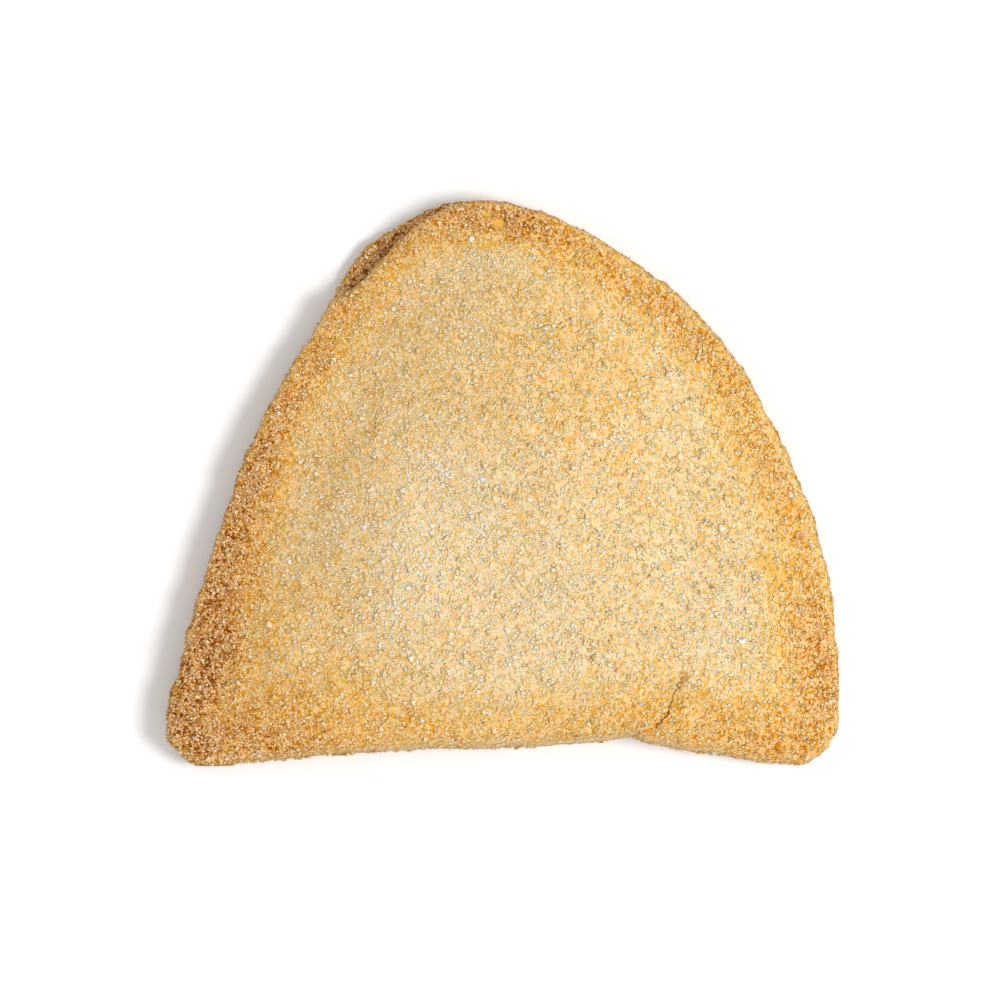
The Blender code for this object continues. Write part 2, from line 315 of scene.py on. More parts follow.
@dataclass(frozen=True)
class CrustFinish:
    """Baked shortcrust, and the finest sugar melted onto it. Sizes in millimetres."""

    sugar: Tones = Tones((0.84, 0.70, 0.50), (0.85, 0.58, 0.23), (0.88, 0.53, 0.17), (0.86, 0.46, 0.15))
    lightest: Colour = (0.98, 0.88, 0.70)
    lightest_share: float = 0.3
    # Painted shade in the crack, with darker dough there too.
    crack_shade: Colour = (0.34, 0.15, 0.02)
    browning: float = 0.9
    clouds: Mottle = Mottle(5.0, 0.3)
    freckles: Mottle = Mottle(1.1, 0.5, 3.0, 0.6)
    grit: Mottle = Mottle(0.45, 1.4, 3.0, 0.75)
    grit_when_pale: float = 0.25
    crystal: float = 0.46
    wall: float = 0.02
    wall_sharpness: float = 9.0
    sugared: float = 0.92
    less_when_brown: float = 0.15
    thin: Mottle = Mottle(1.5, 1.5, 2.0, 0.6)
    melt_sharpness: float = 6.0
    facet_tilt: float = 0.4
    crumbs: tuple[Mottle, Mottle] = (Mottle(0.3, 0.5, 3.0, 0.6), Mottle(0.9, 0.5))
    crumb_strength: float = 0.6
    crumb_depth: float = 0.35
    roughness: float = 0.5
    rougher_freckles: float = 0.6
    smoother_when_bare: float = 0.15
    shine: float = 0.12
    shine_roughness: float = 0.3

    def material(self) -> bpy.types.Material:
        """Builds the material.

        Returns:
            A material that reads the crust's own attributes.
        """
        bench = Bench("baked_crust")
        browned, bare = bench.attribute("browned"), bench.attribute("bare")
        freckles = self.freckles.on(bench)
        grit = self.grit.on(bench) * (browned + self.grit_when_pale)
        baked = (browned * self.browning + self.clouds.on(bench) + freckles + grit).clamped()
        chance, wall = bench.cells(self.crystal)
        lot = bench.node("ShaderNodeSeparateColor", {}, {"Color": chance})
        lightness, order = Shade(bench, lot["Red"]), Shade(bench, lot["Green"])
        held = self.sugared - browned * self.less_when_brown - self.thin.on(bench)
        within = ((wall - self.wall) * self.wall_sharpness).clamped()
        crystals = ((held - order) * self.melt_sharpness).clamped() * within * (1.0 - bare).clamped()
        sugar = bench.blend(lightness * self.lightest_share, self.sugar.colour(bench, baked), self.lightest)
        colour = bench.blend(crystals, DOUGH.colour(bench, baked), sugar)
        colour = bench.blend(bare, colour, BUTTER)
        # Painted shade: the crack, and the halo at its far end, are blended towards this dark brown.
        colour = bench.blend(bench.attribute("crack"), colour, self.crack_shade)
        facing = bench.facets(chance, crystals * self.facet_tilt)
        crumb = self.crumbs[0].on(bench) + self.crumbs[1].on(bench)
        return bench.finish({
            "Base Color": colour,
            "Roughness": self.roughness + freckles * self.rougher_freckles - bare * self.smoother_when_bare,
            "Normal": bench.bump(crumb, self.crumb_strength, self.crumb_depth, facing),
            "Coat Weight": crystals * self.shine,
            "Coat Roughness": self.shine_roughness,
            **BAKED_SURFACE,
        })


@dataclass(frozen=True)
class SugarFinish:
    """Sugar grains, tinted by the crust that shows through them. Sizes in millimetres."""

    name: str
    tones: Tones
    lightest: Colour
    shine: float
    shine_roughness: float
    share: float
    more_when_brown: float
    lightest_share: float = 0.26
    browning: float = 0.9
    clouds: Mottle = Mottle(4.0, 0.25)
    frost: Mottle = Mottle(0.45, 1.5, 3.0, 0.75)
    usual_tint: float = 0.4
    tint_browning: float = 0.5
    flank_level: float = 0.58
    flank_sharpness: float = 2.6
    flank_bareness: float = 0.9
    hollows: Mottle = Mottle(0.85, 7.0, 2.0, 0.65)
    hollow_start: float = -0.21
    hollow_bareness: float = 0.7
    butter_share: float = 0.8
    roughness: float = 0.5
    rougher_frost: float = 0.2
    refraction: float = 1.54

    def material(self) -> bpy.types.Material:
        """Builds the material.

        Returns:
            A material that reads the grains' own attributes.
        """
        bench = Bench(self.name)
        browned, tint = bench.attribute("browned"), bench.attribute("tint")
        frost = self.frost.on(bench)
        uneven = frost + (self.usual_tint - tint) * self.tint_browning
        baked = (browned * self.browning + self.clouds.on(bench) + browned * uneven).clamped()
        colour = bench.blend(tint * self.lightest_share, self.tones.colour(bench, baked), self.lightest)
        flank = ((self.flank_level - bench.attribute("rise")) * self.flank_sharpness).clamped()
        hollow = (self.hollow_start - self.hollows.on(bench)).clamped()
        shown = (1.0 - flank * self.flank_bareness) * (1.0 - hollow * self.hollow_bareness)
        colour = bench.blend(1.0 - shown, colour, DOUGH.colour(bench, baked))
        colour = bench.blend(bench.attribute("bare") * self.butter_share, colour, BUTTER)
        return bench.finish({
            "Base Color": colour,
            "Roughness": (self.roughness + frost * self.rougher_frost).clamped(),
            "Coat Weight": shown * self.shine,
            "Coat Roughness": self.shine_roughness,
            "Coat IOR": self.refraction,
            **BAKED_SURFACE,
        })


class SugarKind(Enum):
    """The kinds of sugar grain in the coating."""

    CLEAR = SugarFinish(
        name="clear_sugar",
        tones=Tones((0.86, 0.73, 0.57), (0.84, 0.58, 0.27), (0.88, 0.55, 0.24), (0.94, 0.54, 0.25)),
        lightest=(1.0, 0.92, 0.76),
        shine=0.3,
        shine_roughness=0.2,
        share=0.30,
        more_when_brown=0.0,
    )
    FROSTED = SugarFinish(
        name="frosted_sugar",
        tones=Tones((0.90, 0.79, 0.67), (0.88, 0.66, 0.39), (0.92, 0.63, 0.37), (0.97, 0.64, 0.38)),
        lightest=(1.0, 0.95, 0.84),
        shine=0.12,
        shine_roughness=0.5,
        share=0.30,
        more_when_brown=-0.10,
    )
    BUTTERED = SugarFinish(
        name="buttered_sugar",
        tones=Tones((0.82, 0.64, 0.39), (0.83, 0.50, 0.14), (0.84, 0.44, 0.10), (0.80, 0.37, 0.07)),
        lightest=(0.95, 0.80, 0.52),
        shine=0.2,
        shine_roughness=0.3,
        share=0.26,
        more_when_brown=0.0,
    )
    TOASTED = SugarFinish(
        name="toasted_sugar",
        tones=Tones((0.78, 0.59, 0.34), (0.78, 0.44, 0.12), (0.74, 0.36, 0.07), (0.60, 0.24, 0.035)),
        lightest=(0.95, 0.78, 0.50),
        shine=0.2,
        shine_roughness=0.35,
        share=0.10,
        more_when_brown=0.35,
    )


@dataclass(frozen=True)
class FloorFinish:
    """A plain pale studio floor."""

    light: Colour = (0.96, 0.96, 0.96)
    dim: Colour = (0.94, 0.94, 0.94)
    cloud: float = 80.0
    levels: tuple[float, float] = (0.3, 0.7)
    roughness: float = 0.9
    gloss: float = 0.1

    def material(self) -> bpy.types.Material:
        """Builds the material."""
        bench = Bench("studio_floor")
        stops = list(zip(self.levels, (self.dim, self.light)))
        colour = bench.ramp(bench.noise(self.cloud), stops)
        return bench.finish(
            {"Base Color": colour, "Roughness": self.roughness, "Specular IOR Level": self.gloss}
        )


# Shape helpers


@dataclass(frozen=True)
class Wave:
    """Smooth unevenness: its features' size in millimetres, its height, and which endless pattern it is."""

    size: float
    height: float
    seed: int

    def at(self, points: Array) -> Array:
        """The wave's value at places in millimetres, up to about its height either way."""
        shifted = points / self.size + self.seed * PATTERN_STEP
        return self.height * np.array([noise.noise(place) for place in shifted.tolist()])


@dataclass(frozen=True)
class Hump:
    """A smooth rise round one direction from the middle: its direction and width in degrees, its height."""

    turn: float
    width: float
    height: float

    def at(self, turns: Array) -> Array:
        """How much it adds in each direction."""
        return self.height * np.exp(-((wrapped(turns - self.turn) / self.width) ** 2))


def easing(values: Array) -> Array:
    """A smooth step from 0 at 0 to 1 at 1."""
    share = np.clip(values, 0.0, 1.0)
    return share * share * (3 - 2 * share)


def wrapped(turn: Array) -> Array:
    """Angles in degrees, brought between -180 and 180."""
    return (turn + 180) % 360 - 180


def to_line(points: Array, line: Sequence[tuple[float, float]]) -> tuple[Array, Array]:
    """Where points lie beside a line, seen from above.

    Args:
        points: places in millimetres, one a row.
        line: the line's corners.

    Returns:
        Each point's distance from the line, and how far along the line it is, from 0 to 1.
    """
    corners = np.array(line)
    lengths = np.linalg.norm(np.diff(corners, axis=0), axis=1)
    total = lengths.sum()
    nearest = np.full(len(points), np.inf)
    along = np.zeros(len(points))
    before = 0.0
    for start, end, length in zip(corners, corners[1:], lengths):
        way = (end - start) / length
        reach = np.clip((points[:, :2] - start) @ way, 0, length)
        distance = np.linalg.norm(points[:, :2] - start - reach[:, None] * way, axis=1)
        closer = distance < nearest
        nearest = np.where(closer, distance, nearest)
        along = np.where(closer, (before + reach) / total, along)
        before += length
    return nearest, along


def read(elements: bpy.types.bpy_prop_collection, name: str, width: int, kind: type) -> Array:
    """Reads one property of all of a mesh's elements.

    Args:
        elements: the mesh's points, edges or triangles.
        name: the property's name.
        width: how many numbers each element holds.
        kind: the numbers' type.

    Returns:
        The numbers, one element a row.
    """
    flat = np.empty(len(elements) * width, kind)
    elements.foreach_get(name, flat)
    return flat.reshape(-1, width)


def boxed(points: Array) -> Array:
    """Points in millimetres, held inside the solid's box."""
    lowest, highest = (np.array(corner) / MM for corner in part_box(NODE))
    return np.clip(points, lowest, highest)


def points_of(mesh: bpy.types.Mesh) -> Array:
    """A mesh's points in millimetres, one a row."""
    return read(mesh.vertices, "co", 3, np.float32).astype(float) / MM


def normals_of(mesh: bpy.types.Mesh) -> Array:
    """A mesh's normals at its points, one a row."""
    return read(mesh.vertex_normals, "vector", 3, np.float32).astype(float)


def move_points(mesh: bpy.types.Mesh, points: Array) -> None:
    """Puts a mesh's points at these places, in millimetres."""
    mesh.vertices.foreach_set("co", (points * MM).astype(np.float32).ravel())
    mesh.update()


def write_numbers(mesh: bpy.types.Mesh, numbers: dict[str, Array]) -> None:
    """Stores named numbers at a mesh's points, for its material to read."""
    for name, values in numbers.items():
        mesh.attributes.new(name, "FLOAT", "POINT").data.foreach_set("value", values.astype(np.float32))


def read_number(mesh: bpy.types.Mesh, name: str) -> Array:
    """The numbers that a mesh holds at its points."""
    return read(mesh.attributes[name].data, "value", 1, np.float32)[:, 0].astype(float)


def smooth(shape: bmesh.types.BMesh, times: int) -> None:
    """Draws each point halfway towards its neighbours, a number of times."""
    axes = {"use_axis_x": True, "use_axis_y": True, "use_axis_z": True}
    for _ in range(times):
        bmesh.ops.smooth_vert(shape, verts=shape.verts, factor=0.5, **axes)


def dressed(name: str, mesh: bpy.types.Mesh, material: bpy.types.Material) -> bpy.types.Object:
    """Puts a mesh into the scene.

    Args:
        name: the object's name.
        mesh: its mesh.
        material: the one material that it gets.

    Returns:
        The object.
    """
    mesh.name = name
    mesh.materials.clear()
    mesh.materials.append(material)
    piece = bpy.data.objects.new(name, mesh)
    bpy.context.collection.objects.link(piece)
    return piece


# The pastry


@dataclass(frozen=True)
class BareSpot:
    """A pit or streak where the sugar came off, and the buttery dough shows.

    Its place and sizes are in millimetres, and it turns anticlockwise from X by an angle in degrees.
    """

    x: float
    y: float
    length: float
    width: float
    depth: float
    turn: float = 0.0
    bareness: float = 1.0
    edge: float = 1.25
    softness: float = 0.5

    def share(self, points: Array) -> Array:
        """How much each point belongs to the spot, from 0 to 1."""
        angle = math.radians(self.turn)
        across = points[:, 0] - self.x
        up = points[:, 1] - self.y
        along = (across * math.cos(angle) + up * math.sin(angle)) / (self.length / 2)
        beside = (up * math.cos(angle) - across * math.sin(angle)) / (self.width / 2)
        return easing((self.edge - np.hypot(along, beside)) / self.softness)


@dataclass(frozen=True)
class Patch:
    """A part of the top that baked more, or less, than what is round it, in millimetres."""

    x: float
    y: float
    reach: float
    more: float

    def share(self, points: Array) -> Array:
        """How much the patch adds to the browning at each point."""
        away = np.hypot(points[:, 0] - self.x, points[:, 1] - self.y)
        return self.more * np.exp(-((away / self.reach) ** 2))


@dataclass
class Baking:
    """How brown each place of the crust is. Sizes in millimetres."""

    middle: tuple[float, float] = (0.0, -9.0)
    inside: float = 0.10
    rim: float = 0.50
    rim_humps: tuple[Hump, ...] = (
        Hump(40.0, 60.0, 0.20),
        Hump(92.0, 15.0, 0.28),
        Hump(182.0, 48.0, 0.46),
        Hump(208.0, 11.0, 0.30),
        Hump(332.0, 18.0, 0.25),
    )
    rim_start: float = 2.0
    reach: float = 10.0
    reach_humps: tuple[Hump, ...] = (
        Hump(75.0, 40.0, -3.0),
        Hump(150.0, 18.0, -4.0),
        Hump(212.0, 22.0, 7.0),
        Hump(330.0, 22.0, 5.0),
    )
    edge_painted_fill: float = 0.25
    edge_fill_reach: float = 1.4
    ledge_top: float = 4.4
    ledge_softness: float = 0.8
    ledge_slope: float = 0.1
    ledge_slope_run: float = 0.4
    ledge_more: float = 0.45
    below: float = 0.6
    below_wave: Wave = Wave(14.0, 0.1, 3)
    below_rim: float = 0.2
    below_reach: float = 6.0
    turn_over: float = 1.5
    waves: tuple[Wave, Wave] = (Wave(11.0, 0.07, 1), Wave(4.0, 0.06, 2))
    brownest: float = 1.1
    patches: tuple[Patch, ...] = (
        Patch(8.0, 22.0, 19.0, 0.22),
        Patch(27.0, 0.0, 15.0, 0.10),
        Patch(-28.0, 6.0, 12.0, 0.20),
        Patch(-19.0, 23.0, 9.0, 0.16),
        Patch(-31.0, -15.0, 10.0, 0.14),
        Patch(-24.0, -27.0, 11.0, 0.12),
        Patch(-9.0, -8.0, 13.0, -0.10),
    )

    def turn_of(self, points: Array) -> Array:
        """Each point's direction from the middle, in degrees."""
        return np.degrees(np.arctan2(points[:, 1] - self.middle[1], points[:, 0] - self.middle[0]))

    def rim_of(self, points: Array, normals: Array, mesh: bpy.types.Mesh) -> KDTree:
        """Finds the edge that shows from above.

        Args:
            points: the crust's points.
            normals: its normals there.
            mesh: its mesh, for its edges.

        Returns:
            A search tree of the rim's points, laid flat.
        """
        ends = read(mesh.edges, "vertices", 2, np.int32)
        turned = normals[ends[:, 0], 2] * normals[ends[:, 1], 2] < 0
        rim = points[ends[turned, 0]]
        angles = np.round(self.turn_of(rim))
        away = np.hypot(rim[:, 0] - self.middle[0], rim[:, 1] - self.middle[1])
        widest = {}
        for angle, reach, place in zip(angles, away, rim):
            if reach > widest.get(angle, (0.0, None))[0]:
                widest[angle] = (reach, place)
        tree = KDTree(len(widest))
        for number, (_, place) in enumerate(widest.values()):
            tree.insert((place[0], place[1], 0.0), number)
        tree.balance()
        return tree

    @staticmethod
    def inset_of(points: Array, rim: KDTree) -> Array:
        """How far in from the rim each point is, seen from above."""
        return np.array([rim.find((x, y, 0.0))[2] for x, y in points[:, :2].tolist()])

    def browned(self, points: Array, normals: Array, inset: Array) -> Array:
        """How brown each point is.

        Args:
            points: places on the crust.
            normals: the crust's normals there.
            inset: how far in from the rim they are.

        Returns:
            0 for pale dough to 1 for brown, at each point.
        """
        turn = self.turn_of(points)
        rim = self.rim + sum(hump.at(turn) for hump in self.rim_humps)
        reach = self.reach + sum(hump.at(turn) for hump in self.reach_humps)
        top = np.full(len(points), self.inside)
        for patch in self.patches:
            top += patch.share(points)
        top += (rim - top) * (1 - easing((inset - self.rim_start) / reach))
        top += self.ledge_more * self.on_ledge(points, normals)
        # Painted light: the outermost rim is made paler, standing in for fill light on it, with sugar seen
        # edge-on there too.
        top -= self.edge_painted_fill * (1 - easing(inset / self.edge_fill_reach))
        below = self.below + self.below_wave.at(points) + self.below_rim * np.exp(-inset / self.below_reach)
        facing = easing(0.5 + normals[:, 2] * self.turn_over)
        level = facing * top + (1 - facing) * below
        level += sum(wave.at(points) for wave in self.waves)
        return np.clip(level, 0.0, self.brownest)

    def on_ledge(self, points: Array, normals: Array) -> Array:
        """1 on the lower layer of dough, where it sticks out past the upper one, and 0 elsewhere."""
        low = easing((self.ledge_top - points[:, 2]) / self.ledge_softness)
        return low * easing((normals[:, 2] - self.ledge_slope) / self.ledge_slope_run)


@dataclass(frozen=True)
class Crack:
    """The split next to the fold: where it runs, and how wide and deep it is. Sizes in millimetres."""

    line: tuple[tuple[float, float], ...] = (
        (20.6, -39.4),
        (23.8, -38.0),
        (24.7, -36.6),
        (25.5, -35.6),
        (25.8, -34.7),
        (26.4, -33.0),
        (27.4, -31.2),
        (28.3, -29.8),
    )
    reach: float = 1.5
    lowest: float = 0.5
    width: float = 0.24
    softness: float = 1.6
    narrowing: float = 0.35
    depth: float = 0.45
    waver: tuple[Wave, Wave] = (Wave(0.7, 0.3, 5), Wave(0.7, 0.3, 6))
    unevenness: Wave = Wave(1.1, 0.6, 7)
    start_open: float = 0.3
    start_run: float = 0.05
    end_run: float = 0.12
    end_share: float = 0.35
    shade_halo: float = 0.3
    shade_halo_reach: float = 0.55
    shade_halo_start: float = 0.65
    shade_halo_run: float = 0.3

    def near(self, points: Array) -> Array:
        """Whether each point lies on the top beside the crack."""
        distance, _ = to_line(points, self.line)
        return (distance < self.reach) & (points[:, 2] > self.lowest)

    def share(self, points: Array) -> Array:
        """How deep in the crack each point is.

        Args:
            points: places in millimetres, one a row.

        Returns:
            0 outside it to 1 at its bottom. A faint halo surrounds its far end, where it paints shade and
            dips the crust a little.
        """
        moved = points.copy()
        moved[:, 0] += self.waver[0].at(points)
        moved[:, 1] += self.waver[1].at(points)
        distance, along = to_line(moved, self.line[1:])
        width = self.width * (1.0 - self.narrowing * along) * (1 + self.unevenness.at(points))
        opened = easing((1 - along) / self.end_run) * easing(along / self.start_run + self.start_open)
        deep = self.end_share + (1 - self.end_share) * opened
        # Painted shade: a soft dark halo round the crack's far end.
        shade_halo = self.shade_halo * np.exp(-((distance / self.shade_halo_reach) ** 2))
        shade_halo *= easing((along - self.shade_halo_start) / self.shade_halo_run)
        return np.maximum(easing(self.softness - distance / (width / 2)) * deep, shade_halo)


@dataclass
class Crust:
    """The baked crust: an even skin over the solid, roughened, cracked and pitted. Sizes in millimetres."""

    even: float = 0.46
    fine_cuts: int = 2
    smoothing: int = 10
    facet: float = 0.05
    coat: float = 0.28
    coat_on_sides: float = 0.08
    lumps: tuple[Wave, Wave] = (Wave(3.2, 0.10, 8), Wave(1.25, 0.10, 9))
    strata: float = 0.12
    strata_stretch: tuple[float, float, float] = (0.35, 0.35, 1.0)
    strata_waves: tuple[Wave, Wave] = (Wave(1.1, 1.0, 10), Wave(2.4, 1.0, 11))
    fold_turn: float = -78.0
    fold_spread: float = 30.0
    fold_blur: float = 15.0
    thin_rim: float = 3.0
    rim_grown: float = 0.3
    rim_lumps: tuple[Wave, Wave] = (Wave(3.6, 0.3, 18), Wave(1.6, 0.3, 19))
    upward: float = 0.4
    level_enough: float = 0.8
    steep_run: float = 0.7
    crack: Crack = Crack()
    spots: tuple[BareSpot, ...] = (
        BareSpot(-2.0, 42.1, 1.8, 1.5, 0.5),
        BareSpot(-0.3, 40.6, 2.0, 1.7, 0.5),
        BareSpot(-2.4, 37.0, 2.2, 0.8, 0.15, 20.0),
        BareSpot(14.4, 35.0, 1.6, 1.1, 0.2),
        BareSpot(40.6, -12.0, 3.4, 2.6, 0.3, -42.0, 0.4),
        BareSpot(43.2, -14.8, 4.8, 3.0, 0.3, -50.0, 0.35),
    )
    finish: CrustFinish = CrustFinish()

    def even_skin(self) -> bpy.types.Mesh:
        """Copies the solid's mesh and gives the copy small even faces.

        Returns:
            The new mesh.
        """
        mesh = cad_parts[NODE].data.copy()
        shape = bmesh.new()
        shape.from_mesh(mesh)
        bmesh.ops.remove_doubles(shape, verts=shape.verts, dist=JOIN_DISTANCE * MM)
        shape.to_mesh(mesh)
        shape.free()
        draft = bpy.data.objects.new("crust_draft", mesh)
        bpy.context.collection.objects.link(draft)
        remesh = draft.modifiers.new("even", "REMESH")
        remesh.mode = "VOXEL"
        remesh.voxel_size = self.even * MM
        graph = bpy.context.evaluated_depsgraph_get()
        skin = bpy.data.meshes.new_from_object(draft.evaluated_get(graph))
        bpy.data.objects.remove(draft)
        bpy.data.meshes.remove(mesh)
        return skin

    def softened(self, skin: bpy.types.Mesh) -> None:
        """Smooths the solid's facets away and makes the skin finer along the crack."""
        shape = bmesh.new()
        shape.from_mesh(skin)
        smooth(shape, self.smoothing)
        self.put_back(shape)
        shape.verts.ensure_lookup_table()
        near = self.crack.near(np.array([vert.co for vert in shape.verts]) / MM)
        edges = [edge for edge in shape.edges if near[edge.verts[0].index] and near[edge.verts[1].index]]
        bmesh.ops.subdivide_edges(shape, edges=edges, cuts=self.fine_cuts, use_grid_fill=True)
        many_sided = [face for face in shape.faces if len(face.verts) > MOST_CORNERS]
        bmesh.ops.triangulate(shape, faces=many_sided)
        shape.to_mesh(skin)
        shape.free()

    def put_back(self, shape: bmesh.types.BMesh) -> None:
        """Moves the skin back onto the solid where smoothing shrank it, as at the thin rim."""
        solid = bmesh.new()
        solid.from_mesh(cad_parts[NODE].data)
        tree = BVHTree.FromBMesh(solid)
        for vert in shape.verts:
            place, _, _, distance = tree.find_nearest(vert.co)
            share = min(max((distance / MM - self.facet) / self.facet, 0.0), 1.0)
            vert.co = vert.co.lerp(place, share)
        solid.free()
        smooth(shape, 1)

    def relief(self, points: Array, normals: Array, inset: Array, turn: Array) -> Array:
        """How far the skin rises from the solid's form.

        Args:
            points: places on the skin.
            normals: its normals there.
            inset: how far in from the rim they are.
            turn: their directions from the middle, in degrees.

        Returns:
            The rise at each point: below 0 wherever sugar will lie on it.
        """
        side = 1 - np.abs(normals[:, 2])
        rise = -self.coat + (self.coat - self.coat_on_sides) * side**2
        for wave in self.lumps:
            rise += wave.at(points)
        layered, plain = self.strata_waves
        layers = layered.at(points * np.array(self.strata_stretch)) + plain.at(points)
        rise += side**2 * self.strata * layers
        from_fold = np.abs(wrapped(turn - self.fold_turn))
        thin = easing(self.thin_rim - inset) * easing((from_fold - self.fold_spread) / self.fold_blur)
        grown = np.full(len(points), self.rim_grown)
        for wave in self.rim_lumps:
            grown += wave.at(points)
        return rise + thin * side * grown

    def roughened(self, skin: bpy.types.Mesh, baking: Baking) -> None:
        """Gives the skin its relief and stores what its material reads.

        Args:
            skin: the even skin.
            baking: how the crust browned.
        """
        points = points_of(skin)
        normals = normals_of(skin)
        inset = baking.inset_of(points, baking.rim_of(points, normals, skin))
        up = easing(normals[:, 2] / self.upward)
        rise = self.relief(points, normals, inset, baking.turn_of(points))
        bare = np.zeros(len(points))
        for spot in self.spots:
            share = spot.share(points) * up
            bare = np.maximum(bare, share * spot.bareness)
            rise -= spot.depth * share
        crack = self.crack.share(points) * up
        rise -= self.crack.depth * crack
        browned = baking.browned(points, normals, inset)
        # Steepness: the materials darken the steep sides with it, partly as painted shade, and the grains
        # sink deeper there.
        steep = easing((self.level_enough - normals[:, 2]) / self.steep_run)
        write_numbers(skin, {"browned": browned, "bare": bare, "crack": crack, "steep": steep})
        move_points(skin, boxed(points + normals * rise[:, None]))

    def build(self, baking: Baking) -> bpy.types.Object:
        """Builds and dresses the crust.

        Args:
            baking: how the crust browned.

        Returns:
            The crust's object.
        """
        skin = self.even_skin()
        self.softened(skin)
        self.roughened(skin, baking)
        skin.shade_smooth()
        piece = dressed("crust", skin, self.finish.material())
        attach(piece, BODY)
        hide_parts(NODE)
        return piece


@dataclass
class Sites:
    """Where sugar grains stick: their places in millimetres, the crust's normals there, and its numbers."""

    places: Array
    normals: Array
    browned: Array
    bare: Array
    steep: Array
    large: Array

    def only(self, chosen: Array) -> "Sites":
        """The sites that a mask or a list of numbers picks."""
        return Sites(*(values[chosen] for values in vars(self).values()))


@dataclass
class SugarCoat:
    """The sugar coating: grains of several kinds pressed into the crust. Sizes in millimetres."""

    seed: int = 11
    tries: float = 26.0
    spacing: float = 0.30
    spacing_spread: float = 0.15
    grain: float = 0.50
    grain_spread: float = 0.26
    smallest: float = 0.26
    largest: float = 0.9
    large: float = 1.25
    large_share: float = 0.03
    large_sunk: float = 0.6
    large_glint_tint: float = 1.2
    tint_power: float = 1.5
    chip: float = 0.62
    wedge: float = 0.9
    slimmest: float = 0.6
    widest: float = 1.15
    flatness: float = 0.6
    tilt: float = 0.36
    skew: float = 0.14
    sunk: float = 0.34
    sunk_spread: float = 0.14
    sunk_on_sides: float = 0.12
    full_rise: float = 0.12
    flank: float = 0.85
    clumps: tuple[Wave, Wave] = (Wave(1.1, 1.0, 16), Wave(0.495, 0.6, 17))
    clumping: float = 0.07
    clumping_when_brown: float = 0.08
    melted_from: float = -35.0
    melted_to: float = 25.0
    melted_lower: float = 0.5
    cover_below: float = 0.34
    cover_above: float = 0.66
    cover_turn: float = 0.75
    less_when_brown: float = 0.2
    streaks: tuple[Wave, Wave] = (Wave(2.2, 0.10, 12), Wave(6.0, 0.10, 13))
    veins: Wave = Wave(1.5, 1.0, 14)
    vein_width: float = 0.05
    vein_softness: float = 1.3
    vein_depth: float = 0.8
    vein_breaks: Wave = Wave(1.1, 1.6, 15)
    vein_share: float = 0.4
    veins_when_brown: float = 0.5
    crack_edge: float = 0.3
    crack_bareness: float = 2.0
    scarce: float = 0.08
    most: int = 24900
    random: np.random.Generator = field(init=False)

    def __post_init__(self) -> None:
        """Seeds the source of chance."""
        self.random = np.random.default_rng(self.seed)

    def sampled(self, crust: bpy.types.Mesh) -> Sites:
        """Throws grains at the crust, as many on each face as its area asks for.

        Args:
            crust: the crust's mesh.

        Returns:
            The sites they hit.
        """
        crust.calc_loop_triangles()
        corners = read(crust.loop_triangles, "vertices", 3, np.int32)
        points = points_of(crust)
        normals = normals_of(crust)
        a, b, c = (points[corners[:, i]] for i in range(3))
        areas = np.linalg.norm(np.cross(b - a, c - a), axis=1) / 2
        amount = int(areas.sum() * self.tries)
        hit = np.searchsorted(np.cumsum(areas), self.random.random(amount) * areas.sum())
        hit = np.minimum(hit, len(corners) - 1)
        u = self.random.random(amount)
        v = self.random.random(amount)
        over = u + v > 1
        u[over] = 1 - u[over]
        v[over] = 1 - v[over]
        shares = np.stack([1 - u - v, u, v], axis=1)
        around = corners[hit]
        places = (points[around] * shares[:, :, None]).sum(1)
        facing = (normals[around] * shares[:, :, None]).sum(1)
        facing /= np.linalg.norm(facing, axis=1)[:, None]
        names = ("browned", "bare", "crack", "steep")
        browned, bare, crack, steep = [(read_number(crust, name)[around] * shares).sum(1) for name in names]
        bare = np.maximum(bare, (crack - self.crack_edge) * self.crack_bareness)
        large = self.random.random(amount) < self.large_share
        return Sites(places, facing, browned, bare, steep, large)

    def cover(self, sites: Sites) -> Array:
        """How thick the sugar lies at each site, from 0 for none to 1."""
        full = self.cover_below + self.cover_above * easing(sites.normals[:, 2] + self.cover_turn)
        streaks = sum(wave.at(sites.places) for wave in self.streaks)
        veins = easing(self.vein_softness - np.abs(self.veins.at(sites.places)) / self.vein_width)
        broken = self.vein_share + self.vein_breaks.at(sites.places) + self.veins_when_brown * sites.browned
        gaps = 1.0 - self.vein_depth * veins * easing(broken)
        held = full * (1.0 - self.less_when_brown * sites.browned + streaks) * gaps
        return np.clip(held * (1 - np.clip(sites.bare, 0, 1)), 0.0, 1.0)

    def settled(self, sites: Sites) -> Sites:
        """Keeps the sites that leave room for each other's grains.

        Args:
            sites: all the sites, in a random order.

        Returns:
            The kept ones.
        """
        cover = self.cover(sites)
        enough = cover > self.scarce
        sites = sites.only(enough)
        room = self.spacing / np.sqrt(cover[enough])
        room *= self.random.uniform(1 - self.spacing_spread, 1 + self.spacing_spread, len(room))
        tree = KDTree(len(room))
        for number, place in enumerate(sites.places.tolist()):
            tree.insert(place, number)
        tree.balance()
        free = np.ones(len(room), bool)
        kept = []
        for number, (place, reach) in enumerate(zip(sites.places.tolist(), room.tolist())):
            if free[number]:
                kept.append(number)
                free[[near for _, near, _ in tree.find_range(place, reach)]] = False
        return sites.only(np.array(kept))

    def kinds_of(self, sites: Sites) -> Array:
        """Chooses each grain's kind.

        Args:
            sites: where the grains are.

        Returns:
            The number of its SugarKind, for each grain.
        """
        finishes = [kind.value for kind in SugarKind]
        parts = [finish.share + finish.more_when_brown * sites.browned for finish in finishes]
        weights = np.stack(parts, axis=1)
        ladder = np.cumsum(weights / weights.sum(1)[:, None], axis=1)
        draws = self.random.random(len(weights))
        return np.minimum((draws[:, None] > ladder).sum(1), len(finishes) - 1)

